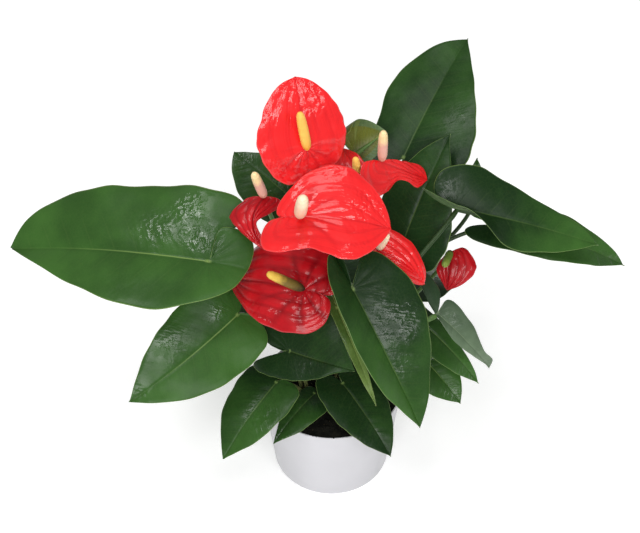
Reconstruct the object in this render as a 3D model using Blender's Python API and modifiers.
"""A potted anthurium: heart-shaped green leaves and red blooms above a plain white pot.

Lengths are in millimetres and angles in degrees until they reach a mesh. The origin is the centre
of the pot's flat base, +Z is up, and -Y is the side that the plant shows.
"""

import math
from dataclasses import dataclass

import bmesh
import bpy
import numpy as np
from mathutils import Vector

MM = 0.001
GAP = 0.3
UPWARD = np.array([0.0, 0.0, 1.0])

# Pot and soil
POT_HEIGHT = 92.0
RIM_RADIUS = 62.5
BASE_RADIUS = 52.0
WALL = 1.4
FLOOR = 2.0
CORNER_RADIUS = 4.0
SOIL_EDGE = 89.5
SOIL_CROWN = 92.0
HOLE_DEPTH = 16.0
POT_STEPS = 48

# Blades and stalks
LEAF_THICKNESS = 1.0
SPATHE_THICKNESS = 0.9
LEAF_ROWS, LEAF_COLUMNS = 9, 6
SPATHE_ROWS, SPATHE_COLUMNS = 9, 6
FIRST_MARGIN = 0.08
FAN_END = 0.42
SPINE_EASE = 1.15
STALK_RADIUS = 1.8
STALK_POINTS = 10
RIB_LENGTH = 16.0
RIB_RADIUS = 0.9
RIB_SINK = 1.2
NECK_GAP = 0.7
SPADIX_SIDES = 10

# Half a margin for a blade of length 1, from the notch at the stalk round the lobe to the tip:
# how far across from the midrib, and how far along it. As seen from the stalk, the points turn one
# way only. A third number, where there is one, bows the sheet's rows forward, away from the notch.
LEAF_MARGIN = (
    (0.0, -0.01), (0.025, -0.10), (0.08, -0.185), (0.175, -0.215), (0.28, -0.16), (0.35, -0.03), (0.378, 0.14),
    (0.365, 0.34), (0.32, 0.53), (0.235, 0.71), (0.125, 0.86), (0.04, 0.955), (0.0, 1.0),
)
SPATHE_MARGIN = (
    (0.0, -0.01), (0.02, -0.15), (0.07, -0.30), (0.20, -0.39), (0.38, -0.36), (0.53, -0.20), (0.60, 0.06),
    (0.56, 0.34), (0.44, 0.62), (0.26, 0.85), (0.10, 0.965), (0.025, 0.99), (0.0, 1.0),
)

# Blades whose margins are their own: the first side's and the second's. None keeps the general one.
EDGES = {
    "leaf_left": ((
        (0.10, 0.0, 0.10), (0.18, -0.02, 0.20), (0.22, -0.07, 0.30), (0.28, -0.10, 0.36), (0.32, -0.07, 0.33),
        (0.342, 0.0, 0.22), (0.348, 0.10, 0.08), (0.345, 0.22), (0.33, 0.38), (0.305, 0.57), (0.25, 0.79),
        (0.14, 0.93), (0.0, 1.0),
    ), (
        (0.0, -0.005), (-0.09, -0.01), (-0.155, -0.025), (-0.168, -0.08), (-0.15, -0.15), (-0.09, -0.185),
        (0.02, -0.175), (0.14, -0.13), (0.235, 0.0), (0.287, 0.18), (0.277, 0.38), (0.205, 0.59), (0.10, 0.82),
        (0.0, 1.0),
    )),
    "leaf_centre_right": ((
        (0.001, -0.03), (0.003, -0.12), (0.006, -0.19), (0.03, -0.23), (0.08, -0.23), (0.12, -0.20),
        (0.19, -0.11), (0.24, 0.05), (0.266, 0.24), (0.27, 0.42), (0.235, 0.61), (0.12, 0.82), (0.0, 1.0),
    ), (
        (0.01, -0.02), (0.04, -0.05), (0.09, -0.10), (0.14, -0.145), (0.20, -0.165), (0.27, -0.13),
        (0.34, -0.02), (0.39, 0.14), (0.385, 0.29), (0.352, 0.41), (0.28, 0.59), (0.15, 0.81), (0.0, 1.0),
    )),
    "leaf_centre_low": ((
        (0.01, -0.02), (0.09, -0.165), (0.19, -0.33), (0.31, -0.49), (0.40, -0.50), (0.44, -0.36), (0.44, -0.17),
        (0.42, 0.02), (0.37, 0.25), (0.25, 0.53), (0.12, 0.72), (0.05, 0.87), (0.0, 1.0),
    ), (
        (0.01, -0.02), (0.06, -0.11), (0.13, -0.225), (0.20, -0.335), (0.28, -0.44), (0.40, -0.42), (0.55, -0.25),
        (0.68, -0.02), (0.75, 0.18), (0.74, 0.38), (0.60, 0.60), (0.33, 0.80), (0.0, 1.0),
    )),
    "leaf_upright_right": ((
        (0.0, -0.01), (0.06, -0.07), (0.15, -0.135), (0.25, -0.165), (0.33, -0.13), (0.375, 0.0), (0.39, 0.15),
        (0.345, 0.31), (0.29, 0.44), (0.22, 0.58), (0.145, 0.73), (0.055, 0.88), (0.0, 1.0),
    ), None),
    "leaf_right": (None, (
        (0.003, -0.02), (0.015, -0.08), (0.06, -0.13), (0.13, -0.15), (0.22, -0.12), (0.28, -0.02), (0.297, 0.08),
        (0.29, 0.16), (0.24, 0.30), (0.18, 0.485), (0.125, 0.72), (0.06, 0.88), (0.0, 1.0),
    )),
    "leaf_upper_right": ((
        (0.0, -0.01), (0.05, -0.09), (0.12, -0.16), (0.22, -0.18), (0.33, -0.12), (0.40, 0.0), (0.425, 0.13),
        (0.41, 0.25), (0.36, 0.40), (0.285, 0.55), (0.20, 0.70), (0.09, 0.87), (0.0, 1.0),
    ), (
        (0.0, -0.01), (0.05, -0.07), (0.11, -0.12), (0.18, -0.11), (0.23, -0.04), (0.265, 0.07), (0.29, 0.20),
        (0.313, 0.34), (0.32, 0.48), (0.30, 0.62), (0.24, 0.75), (0.125, 0.90), (0.0, 1.0),
    )),
    "leaf_left_behind": (None, (
        (0.015, -0.02), (0.10, -0.12), (0.25, -0.18), (0.40, -0.15), (0.48, 0.0), (0.50, 0.15), (0.50, 0.30),
        (0.48, 0.45), (0.43, 0.59), (0.35, 0.72), (0.23, 0.86), (0.10, 0.95), (0.0, 1.0),
    )),
    "leaf_right_grey": ((
        (0.0, -0.01), (-0.08, -0.04), (-0.17, -0.09), (-0.26, -0.15), (-0.31, -0.24), (-0.37, -0.38),
        (-0.31, -0.46), (-0.20, -0.41), (-0.08, -0.25), (0.0, -0.08), (0.06, 0.10), (0.10, 0.28), (0.11, 0.42), (0.095, 0.56),
        (0.06, 0.72), (0.02, 0.88), (0.0, 1.0),
    ), (
        (0.0, 0.0), (0.10, -0.012), (0.19, -0.02), (0.235, 0.03), (0.242, 0.11), (0.228, 0.22), (0.19, 0.40),
        (0.145, 0.55), (0.10, 0.69), (0.08, 0.78), (0.09, 0.86), (0.085, 0.94), (0.0, 1.0),
    )),
    "top": ((
        (0.002, -0.02), (0.015, -0.12), (0.08, -0.28), (0.22, -0.34), (0.38, -0.31), (0.52, -0.16), (0.585, 0.05),
        (0.59, 0.22), (0.56, 0.40), (0.47, 0.60), (0.33, 0.80), (0.16, 0.94), (0.0, 1.0),
    ), (
        (0.003, -0.02), (0.025, -0.14), (0.09, -0.30), (0.20, -0.41), (0.33, -0.45), (0.50, -0.32), (0.62, -0.10),
        (0.675, 0.12), (0.67, 0.30), (0.58, 0.50), (0.45, 0.74), (0.24, 0.93), (0.0, 1.0),
    )),
    "middle": ((
        (0.01, -0.02), (0.05, -0.13), (0.14, -0.26), (0.33, -0.315), (0.50, -0.26), (0.51, -0.05), (0.46, 0.15),
        (0.465, 0.34), (0.49, 0.54), (0.40, 0.72), (0.22, 0.88), (0.07, 0.97), (0.0, 1.0),
    ), (
        (0.01, -0.02), (0.045, -0.085), (0.09, -0.155), (0.18, -0.19), (0.28, -0.14), (0.46, 0.0), (0.60, 0.16),
        (0.64, 0.33), (0.61, 0.50), (0.48, 0.70), (0.27, 0.87), (0.09, 0.97), (0.0, 1.0),
    )),
    "lower_left": ((
        (0.003, -0.02), (0.015, -0.095), (0.04, -0.22), (0.14, -0.29), (0.30, -0.31), (0.46, -0.24), (0.50, -0.05),
        (0.50, 0.20), (0.49, 0.40), (0.45, 0.60), (0.33, 0.80), (0.14, 0.93), (0.0, 1.0),
    ), (
        (0.004, -0.02), (0.02, -0.09), (0.05, -0.20), (0.16, -0.26), (0.30, -0.28), (0.42, -0.18), (0.47, -0.02),
        (0.475, 0.16), (0.44, 0.35), (0.37, 0.53), (0.25, 0.71), (0.10, 0.89), (0.0, 1.0),
    )),
    "right": ((
        (0.005, -0.03), (0.025, -0.12), (0.06, -0.22), (0.12, -0.33), (0.25, -0.38), (0.40, -0.34), (0.52, -0.18),
        (0.53, 0.02), (0.40, 0.22), (0.18, 0.40), (0.15, 0.60), (0.17, 0.82), (0.0, 1.0),
    ), (
        (0.02, 0.02), (0.04, 0.08), (0.06, 0.16), (0.09, 0.25), (0.12, 0.35), (0.14, 0.46), (0.17, 0.58),
        (0.19, 0.70), (0.20, 0.81), (0.18, 0.90), (0.13, 0.96), (0.06, 0.99), (0.0, 1.0),
    )),
    "left": ((
        (0.02, -0.02), (0.13, -0.05), (0.28, -0.06), (0.43, -0.05), (0.53, 0.05), (0.55, 0.18), (0.49, 0.30),
        (0.30, 0.38), (0.18, 0.46), (0.09, 0.56), (0.06, 0.70), (0.05, 0.86), (0.0, 1.0),
    ), (
        (0.02, -0.02), (0.10, -0.03), (0.22, -0.03), (0.34, -0.01), (0.41, 0.04), (0.40, 0.13), (0.29, 0.30),
        (0.16, 0.40), (0.07, 0.50), (0.08, 0.62), (0.11, 0.76), (0.09, 0.88), (0.0, 1.0),
    )),
    "small_right": ((
        (0.02, 0.0), (0.05, 0.02), (0.09, 0.05), (0.15, 0.11), (0.21, 0.19), (0.27, 0.28), (0.31, 0.38),
        (0.32, 0.50), (0.28, 0.62), (0.20, 0.74), (0.12, 0.85), (0.05, 0.95), (0.0, 1.0),
    ), (
        (0.02, -0.012), (0.08, -0.045), (0.16, -0.085), (0.24, -0.12), (0.32, -0.14), (0.45, -0.08), (0.60, 0.09),
        (0.68, 0.20), (0.71, 0.34), (0.66, 0.52), (0.50, 0.72), (0.25, 0.90), (0.0, 1.0),
    )),
}


@dataclass
class Blade:
    """A leaf, or the spathe of a bloom.

    A pair holds one value for each side of the midrib. The first is for the side that (along the
    midrib) x (out of the face) points to. bend moves the stalk's second control point.
    """

    name: str
    joint: tuple
    tip: tuple
    root: tuple
    roll: float = 0.0
    wide: tuple = (1.0, 1.0)
    lobes: tuple = (1.0, 1.0)
    fold: tuple = (12.0, 12.0)
    fold_tip: tuple = None
    curl: tuple = (-20.0, -20.0)
    sway: tuple = (0.0, 0.0)
    arch: float = 0.06
    bow: float = 0.0
    ripple: float = 0.012
    ripples: float = 2.2
    phase: float = 0.0
    rise: float = 0.45
    reach: float = 0.30
    bend: tuple = (0, 0, 0)
    look: str = "leaf"


LEAVES = (
    Blade("leaf_left", (-102, 3, 240), (-276, 51, 210), (-16, 8), roll=-20, fold=(18, 18), arch=0.05,
          bend=(-42, 12, -8)),
    Blade("leaf_lower_left", (-80, -4, 185), (-169, -67, 145), (-27, -5), roll=-38, wide=(0.9, 0.88),
          lobes=(0.5, 0.42), fold=(10, 10), curl=(-15, -15), arch=0.05, bow=-0.02, rise=0.3),
    Blade("leaf_low_left", (-48, -25, 123), (-93, -79, 85), (-25, -17), wide=(1.0, 0.92), lobes=(0.6, 0.35)),
    Blade("leaf_low_behind", (-15, -24, 107), (-50, -67, 91), (-14, -20), wide=(0.5, 0.95), lobes=(0.4, 0.4),
          arch=0.08),
    Blade("leaf_low_front", (9, -28, 125), (50, -80, 90), (5, -22), roll=5, wide=(0.93, 0.93), fold=(10, 10)),
    Blade("leaf_centre_low", (-36, -18, 155), (19, -41, 155), (-22, -8), roll=50, arch=0.04),
    Blade("leaf_centre_right", (16, -29, 240), (72, -94, 145), (15, -6), roll=22, wide=(0.9, 0.95),
          fold=(50, -8), fold_tip=(50, 5), curl=(-10, -20), bend=(12, -8, 0)),
    Blade("leaf_withered", (4, -14, 204), (37, -60, 133), (4, 4), roll=20, wide=(0.25, 0.25), arch=0.08,
          look="pale"),
    Blade("leaf_right_low", (62, 9, 180), (127, -23, 120), (23, -6), roll=20, wide=(0.58, 0.35),
          lobes=(0.4, 0.4), arch=0.08, bend=(0, 12, -15)),
    Blade("leaf_right_lowest", (73, 2, 135), (112, -33, 105), (35, -4), roll=20, arch=0.08),
    Blade("leaf_right_grey", (88, -12, 195), (134, -28, 145), (41, -10), roll=35, arch=0.1, bend=(0, -40, 0),
          look="grey"),
    Blade("leaf_upper_right", (62, 110, 263), (121, 211, 317), (16, 24), fold=(8, 8),
          curl=(-15, -15), arch=0.04),
    Blade("leaf_upright_right", (61, 47, 223), (100, 100, 297), (17, 13), roll=5, wide=(1.0, 0.87), fold=(8, 8),
          curl=(-15, -15), arch=0.04),
    Blade("leaf_right", (102, 46, 261), (226, 42, 223), (29, -9), roll=30, wide=(0.6, 1.0), fold=(80, 25),
          fold_tip=(10, 10), sway=(-0.2, 0.0), arch=0.05, rise=0.65, bend=(17, -60, -4)),
    Blade("leaf_far_right", (144, 59, 230), (256, 57, 185), (32, 21), roll=30, wide=(0.5, 0.5), arch=0.1,
          rise=0.6),
    Blade("leaf_right_behind", (124, 89, 233), (126, 112, 261), (24, 28), wide=(0.6, 0.6), arch=0.1),
    Blade("leaf_young", (20, 80, 291), (45, 88, 309), (5, 38), roll=-133, wide=(4.2, 1.0), lobes=(0.5, 0.5),
          fold=(0, 0), curl=(-31, -20), arch=0.05, bend=(30, 45, -50), look="bronze"),
    Blade("leaf_left_behind", (-36, 90, 235), (-85, 115, 265), (-10, 25), roll=-30, wide=(0.9, 1.0), arch=0.05),
    Blade("leaf_back_left", (-58, 70, 135), (-125, 140, 90), (-22, 22), arch=0.08),
    Blade("leaf_back", (8, 92, 145), (12, 195, 100), (12, 42), wide=(0.9, 0.9), arch=0.08),
    Blade("leaf_back_right", (75, 85, 135), (120, 160, 85), (20, 36), wide=(0.9, 0.9), arch=0.08),
)


@dataclass
class Bloom(Blade):
    """A spathe with its own stalk and the spadix that stands at its joint."""

    spadix_tip: tuple = None
    spadix_radius: float = 4.0
    spadix_look: str = "spadix_cream"
    look: str = "spathe"
    stalk_look: str = "stalk"


BLOOMS = (
    Bloom("top", (-21, 39, 330), (-30, 67, 380), (-6, 13), fold=(5, 5), curl=(-15, -15), arch=0.05,
          spadix_tip=(-26, 30, 373), spadix_look="spadix_yellow"),
    Bloom("middle", (-26, -9, 300), (46, -7, 285), (-3, 8), roll=25, wide=(0.94, 0.93), fold=(25, 15),
          fold_tip=(5, 15), curl=(-15, -15), arch=0.1, bend=(6, 18, 0), spadix_tip=(-23, -30, 338),
          spadix_radius=5.0),
    Bloom("lower_left", (-23, -25, 235), (-86, 13, 209), (-9, 6), roll=-35, lobes=(1.0, 0.93), fold=(5, 5),
          curl=(-15, -15), arch=0.1, rise=0.6, bend=(0, 22, 0), spadix_tip=(-52, -37, 265),
          spadix_look="spadix_green", look="spathe_deep"),
    Bloom("right", (39, 54, 305), (80, 72, 270), (9, 15), roll=40, bend=(4, -16, 0), fold=(0, 0),
          arch=0.0, spadix_tip=(40, 42, 345), spadix_look="spadix_pink"),
    Bloom("behind", (20, 49, 296), (8, 75, 301), (0, 21), wide=(0.6, 1.0), fold=(5, 5), curl=(-15, -15),
          arch=0.1, spadix_tip=(18, 33, 325), spadix_radius=3.2, spadix_look="spadix_yellow"),
    Bloom("left", (-56, 37, 280), (-55, 3, 253), (-14, 16), bend=(10, 6, 0), fold=(-5, -5), curl=(-35, -35),
          arch=0.15, bow=0.22, spadix_tip=(-63, 24, 317), spadix_look="spadix_pink", look="spathe_deep"),
    Bloom("right_low", (38, 10, 247), (76, -2, 219), (13, 3), roll=20, wide=(0.5, 0.8), lobes=(0.5, 0.5),
          fold=(0, 5), curl=(-25, -25), arch=0.15, spadix_tip=(44, 0, 273), spadix_radius=3.4),
    Bloom("small_right", (102, 47, 210), (99, 26, 185), (27, 4), fold=(5, 5),
          curl=(-15, -15), arch=0.1, spadix_tip=(95, 26, 213), spadix_radius=3.4, spadix_look="spadix_green",
          look="spathe_deep"),
)

LOOKS = {
    "pot": ((0.80, 0.80, 0.81), 0.35),
    "soil": ((0.018, 0.013, 0.011), 0.95),
    "leaf": ((0.022, 0.105, 0.022), 0.32),
    "grey": ((0.12, 0.19, 0.12), 0.45),
    "pale": ((0.30, 0.40, 0.14), 0.55),
    "bronze": ((0.16, 0.13, 0.02), 0.40),
    "stalk": ((0.10, 0.20, 0.04), 0.45),
    "spathe": ((0.72, 0.012, 0.016), 0.22),
    "spathe_deep": ((0.42, 0.006, 0.012), 0.25),
    "spadix_yellow": ((0.85, 0.55, 0.12), 0.60),
    "spadix_cream": ((0.85, 0.66, 0.42), 0.60),
    "spadix_pink": ((0.80, 0.45, 0.36), 0.60),
    "spadix_green": ((0.42, 0.40, 0.06), 0.60),
}


def unit(v):
    return v / np.linalg.norm(v, axis=-1, keepdims=True)


def smooth_curve(points, u):
    """A curve through the points, read at u from 0 to 1."""
    p = np.array(points, float)
    last = len(p) - 1
    x = np.clip(u, 0, 1) * last
    i = np.minimum(x.astype(int), last - 1)
    t = (x - i)[:, None]
    before, start, end, after = p[np.maximum(i - 1, 0)], p[i], p[i + 1], p[np.minimum(i + 2, last)]
    return 0.5 * (
        2 * start
        + (end - before) * t
        + (2 * before - 5 * start + 4 * end - after) * t**2
        + (3 * start - before - 3 * end + after) * t**3
    )


def blade_axes(blade):
    """Joint, length, and the unit directions along the midrib, out of the face and to the first side."""
    joint = np.array(blade.joint, float)
    along = np.array(blade.tip, float) - joint
    length = np.linalg.norm(along)
    along = along / length
    face = unit(UPWARD - along * along[2])
    side = np.cross(along, face)
    turn = math.radians(blade.roll)
    turned_face = face * math.cos(turn) + side * math.sin(turn)
    return joint, length, along, turned_face, side * math.cos(turn) - face * math.sin(turn)


def midrib(blade, f):
    """Points of the midrib at shares f of its length, and the face's direction there."""
    joint, length, along, face, side = blade_axes(blade)
    f = np.asarray(f, float)
    hump = 4 * f * (1 - f)
    points = joint + length * (
        np.multiply.outer(f, along)
        + np.multiply.outer(blade.arch * hump, face)
        + np.multiply.outer(blade.bow * hump * (f > 0), side)
    )
    slope = blade.arch * 4 * (1 - 2 * f)
    return points, unit(face - np.multiply.outer(slope, along))


def margins(blade):
    """The first side's margin and the second's, each point with its bow."""
    general = SPATHE_MARGIN if isinstance(blade, Bloom) else LEAF_MARGIN
    pair = [own or general for own in EDGES.get(blade.name, (None, None))]
    return [[(*point, 0.0)[:3] for point in margin] for margin in pair]


def blade_surface(blade, u, r):
    """Points of the middle surface. u runs along the margin, and r from one margin (-1) to the other (1)."""
    _, length, _, _, side = blade_axes(blade)
    first, a = r > 0, np.abs(r)

    def pick(pair):
        return np.where(first, pair[0], pair[1])

    pair = margins(blade)
    edges = [smooth_curve(margin, u) for margin in pair]
    spine = np.clip((u - FAN_END) / (1 - FAN_END), 0, 1) ** SPINE_EASE
    nearest = np.clip(np.minimum(edges[0][:, 1], edges[1][:, 1]), 0, None)
    spine = np.where(u >= 1 - 1e-9, 1.0, np.minimum(spine, nearest * 0.97))
    across, back, bow = (pick((edges[0][:, k], edges[1][:, k])) for k in range(3))
    back = np.where(back < 0, back * pick(blade.lobes), back)
    f = spine + (back - spine) * a + bow * a * (1 - a)
    x = across * a * pick(blade.wide)
    widest = pick([max(point[0] for point in margin) for margin in pair])
    fold, fold_tip = pick(blade.fold), pick(blade.fold_tip or blade.fold)
    ease = np.clip(f / 0.5, 0, 1)
    fold = np.radians(fold + (fold_tip - fold) * ease * ease * (3 - 2 * ease))
    curl = np.radians(pick(blade.curl) + 0.001) / widest
    bent = fold + curl * np.abs(x)
    out = np.sign(x) * (np.sin(bent) - np.sin(fold)) / curl
    lift = (np.cos(fold) - np.cos(bent)) / curl
    wave = np.sin(2 * np.pi * blade.ripples * f + blade.phase + np.where(first, 0, 2))
    lift = lift + blade.ripple * a**2 * wave
    out = np.sign(r) * out + pick(blade.sway) * 2 * np.clip(-f, 0, None) * a
    points, face = midrib(blade, f)
    return points + length * (out[:, None] * side + lift[:, None] * face)


def stalk_path(blade, end, arrive):
    """Straight up out of the soil, then one smooth bend to the end."""
    root = np.array([*blade.root, SOIL_CROWN - HOLE_DEPTH + GAP])
    start = np.array([*blade.root, SOIL_CROWN + 1.0])
    span = np.linalg.norm(end - start)
    t = np.linspace(0, 1, STALK_POINTS)[:, None]
    leave = start + UPWARD * span * blade.rise
    enter = end - arrive * span * blade.reach + np.array(blade.bend)
    bend = (1 - t) ** 3 * start + 3 * (1 - t) ** 2 * t * leave + 3 * (1 - t) * t**2 * enter + t**3 * end
    return np.vstack([root, bend])


def material(look):
    found = bpy.data.materials.get(look)
    if found:
        return found
    colour, roughness = LOOKS[look]
    made = bpy.data.materials.new(look)
    made.use_nodes = True
    shader = made.node_tree.nodes["Principled BSDF"]
    shader.inputs["Base Color"].default_value = (*colour, 1)
    shader.inputs["Roughness"].default_value = roughness
    made.diffuse_color = (*colour, 1)
    return made


def add_object(name, data, look, collection):
    made = bpy.data.objects.new(name, data)
    if look:
        data.materials.clear()
        data.materials.append(material(look))
    collection.objects.link(made)
    return made


def evaluated_mesh(source):
    bpy.context.view_layer.update()
    return bpy.data.meshes.new_from_object(source.evaluated_get(bpy.context.evaluated_depsgraph_get()))


def weld(mesh, distance=0.02):
    bm = bmesh.new()
    bm.from_mesh(mesh)
    bmesh.ops.remove_doubles(bm, verts=bm.verts, dist=distance * MM)
    bmesh.ops.recalc_face_normals(bm, faces=bm.faces)
    bm.to_mesh(mesh)
    bm.free()


def smooth(mesh, angle=50):
    mesh.shade_smooth()
    mesh.set_sharp_from_angle(angle=math.radians(angle))


def tube_mesh(points, radii, sides):
    """A round bar along the points, as a welded mesh. sides is 4, 6, 8 or 10."""
    curve = bpy.data.curves.new("tube", "CURVE")
    curve.dimensions = "3D"
    curve.bevel_depth = MM
    curve.bevel_resolution = sides // 2 - 2
    curve.use_fill_caps = True
    spline = curve.splines.new("POLY")
    spline.points.add(len(points) - 1)
    for target, point, radius in zip(spline.points, points, radii):
        target.co = (*(point * MM), 1)
        target.radius = radius
    bar = bpy.data.objects.new("tube", curve)
    bpy.context.scene.collection.objects.link(bar)
    mesh = evaluated_mesh(bar)
    bpy.data.objects.remove(bar)
    bpy.data.curves.remove(curve)
    weld(mesh)
    return mesh


def turned(name, profile, steps, look, collection):
    """A closed turned solid. The profile of (radius, height) starts and ends on the axis."""
    mesh = bpy.data.meshes.new(name)
    bm = bmesh.new()
    verts = [bm.verts.new((radius * MM, 0, height * MM)) for radius, height in profile]
    for first, second in zip(verts, verts[1:]):
        bm.edges.new((first, second))
    bm.to_mesh(mesh)
    bm.free()
    made = add_object(name, mesh, look, collection)
    screw = made.modifiers.new("Turn", "SCREW")
    screw.steps = screw.render_steps = steps
    screw.use_merge_vertices = True
    screw.merge_threshold = 0.00001
    return made


def bake(made):
    """Puts what the modifiers make into the object's own mesh."""
    mesh = evaluated_mesh(made)
    made.modifiers.clear()
    made.data = mesh
    smooth(mesh)


def join(made, operation, others):
    """One Boolean with every mesh in others, applied."""
    helper = bpy.data.collections.new("cutters")
    bpy.context.scene.collection.children.link(helper)
    for mesh in others:
        other = add_object("cutter", mesh, None, helper)
        other.hide_render = True
        other.display_type = "WIRE"
    boolean = made.modifiers.new("Join", "BOOLEAN")
    boolean.operation = operation
    boolean.solver = "EXACT"
    boolean.operand_type = "COLLECTION"
    boolean.collection = helper
    bake(made)
    for other in list(helper.objects):
        bpy.data.objects.remove(other)
    bpy.data.collections.remove(helper)


def make_blade(name, blade, thickness, rows, columns, collection):
    """A grid bent into the blade's middle surface, then given its thickness."""
    bm = bmesh.new()
    bmesh.ops.create_grid(bm, x_segments=columns, y_segments=rows, size=1)
    flat = np.array([vert.co for vert in bm.verts])
    u = FIRST_MARGIN + (1 - FIRST_MARGIN) * (flat[:, 1] + 1) / 2
    for vert, point in zip(bm.verts, blade_surface(blade, u, flat[:, 0])):
        vert.co = point * MM
    bmesh.ops.remove_doubles(bm, verts=bm.verts, dist=0.02 * MM)
    bmesh.ops.triangulate(bm, faces=bm.faces)
    mesh = bpy.data.meshes.new(name)
    bm.to_mesh(mesh)
    bm.free()
    made = add_object(name, mesh, blade.look, collection)
    shell = made.modifiers.new("Thickness", "SOLIDIFY")
    shell.thickness = thickness * MM
    shell.offset = 0
    bake(made)
    return made


def add_leaf(leaf, collection):
    """The blade, with the stalk that runs on under it as the start of its midrib."""
    made = make_blade(leaf.name, leaf, LEAF_THICKNESS, LEAF_ROWS, LEAF_COLUMNS, collection)
    _, length, along, face, _ = blade_axes(leaf)
    reach = RIB_LENGTH / length
    rib, up = midrib(leaf, np.linspace(0.02, reach, 3))
    rib = rib - up * RIB_SINK
    path = np.vstack([stalk_path(leaf, rib[0], unit(along + face)), rib[1:]])
    radii = [STALK_RADIUS] * (len(path) - 2) + [(STALK_RADIUS + RIB_RADIUS) / 2, RIB_RADIUS]
    join(made, "UNION", [tube_mesh(path, radii, 6)])


def add_bloom(bloom, collection):
    """Spathe, stalk and spadix. The stalk ends just under the spathe and the spadix starts just above it."""
    make_blade("spathe_" + bloom.name, bloom, SPATHE_THICKNESS, SPATHE_ROWS, SPATHE_COLUMNS, collection)
    joints, faces = midrib(bloom, [0.0])
    joint, face = joints[0], faces[0]
    neck = joint - face * (SPATHE_THICKNESS / 2 + NECK_GAP)
    path = stalk_path(bloom, neck, face)
    stalk = tube_mesh(path, [STALK_RADIUS] * len(path), 6)
    smooth(stalk)
    add_object("stalk_" + bloom.name, stalk, bloom.stalk_look, collection)
    add_spadix(bloom, joint, face, collection)


def add_spadix(bloom, joint, face, collection):
    tip = np.array(bloom.spadix_tip, float)
    aim = unit(tip - joint)
    lean = math.sqrt(max(0.0, 1 - float(aim @ face) ** 2))
    radius, foot = bloom.spadix_radius, 0.35 * bloom.spadix_radius
    start = joint + face * (SPATHE_THICKNESS / 2 + GAP + foot * (lean + 0.2))
    length = np.linalg.norm(tip - start)
    profile = (
        (0, length), (0.5 * radius, 0.975 * length), (0.8 * radius, 0.90 * length),
        (0.95 * radius, 0.72 * length), (radius, 0.45 * length), (0.98 * radius, 0.22 * length),
        (0.8 * radius, 0.09 * length), (foot, 0), (0, 0),
    )
    made = turned("spadix_" + bloom.name, profile, SPADIX_SIDES, bloom.spadix_look, collection)
    bake(made)
    made.location = Vector(start * MM)
    made.rotation_mode = "QUATERNION"
    made.rotation_quaternion = Vector(tip - start).to_track_quat("Z", "Y")


def wall_radius(height):
    """Outside radius of the pot's straight, slanted wall."""
    return BASE_RADIUS + (RIM_RADIUS - BASE_RADIUS) * height / POT_HEIGHT


def add_pot(collection):
    corner = [
        (BASE_RADIUS - CORNER_RADIUS * (1 - math.sin(a)) + 0.5, CORNER_RADIUS * (1 - math.cos(a)))
        for a in np.radians((75, 50, 25, 0))
    ]
    profile = [
        (0, FLOOR),
        (wall_radius(FLOOR) - WALL - CORNER_RADIUS / 2, FLOOR),
        (wall_radius(FLOOR + CORNER_RADIUS) - WALL, FLOOR + CORNER_RADIUS),
        (RIM_RADIUS - WALL, POT_HEIGHT - 0.4),
        (RIM_RADIUS - WALL + 0.4, POT_HEIGHT),
        (RIM_RADIUS - 0.3, POT_HEIGHT),
        (RIM_RADIUS, POT_HEIGHT - 0.5),
        *corner,
        (0, 0),
    ]
    bake(turned("pot", profile, POT_STEPS, "pot", collection))


def add_soil(collection):
    """A solid plug that fills the pot, with one plain hole for each stalk."""
    def inside(height):
        return wall_radius(height) - WALL - GAP - 0.05

    low = FLOOR + CORNER_RADIUS + GAP
    profile = [
        (0, SOIL_CROWN),
        (18, SOIL_CROWN - 0.4),
        (38, SOIL_CROWN - 1.2),
        (54, SOIL_EDGE + 0.4),
        (inside(SOIL_EDGE), SOIL_EDGE),
        (inside(low), low),
        (inside(low) - CORNER_RADIUS, FLOOR + GAP),
        (0, FLOOR + GAP),
    ]
    soil = turned("soil", profile, POT_STEPS, "soil", collection)
    bake(soil)
    holes = []
    for plant in (*LEAVES, *BLOOMS):
        ends = np.array([[*plant.root, SOIL_CROWN - HOLE_DEPTH], [*plant.root, SOIL_CROWN + 5]])
        holes.append(tube_mesh(ends, [STALK_RADIUS + 2 * GAP] * 2, 6))
    join(soil, "DIFFERENCE", holes)


def main():
    for old in list(bpy.data.objects):
        bpy.data.objects.remove(old)
    plant = bpy.data.collections.new("potted_anthurium")
    bpy.context.scene.collection.children.link(plant)
    add_pot(plant)
    add_soil(plant)
    for leaf in LEAVES:
        add_leaf(leaf, plant)
    for bloom in BLOOMS:
        add_bloom(bloom, plant)


main()
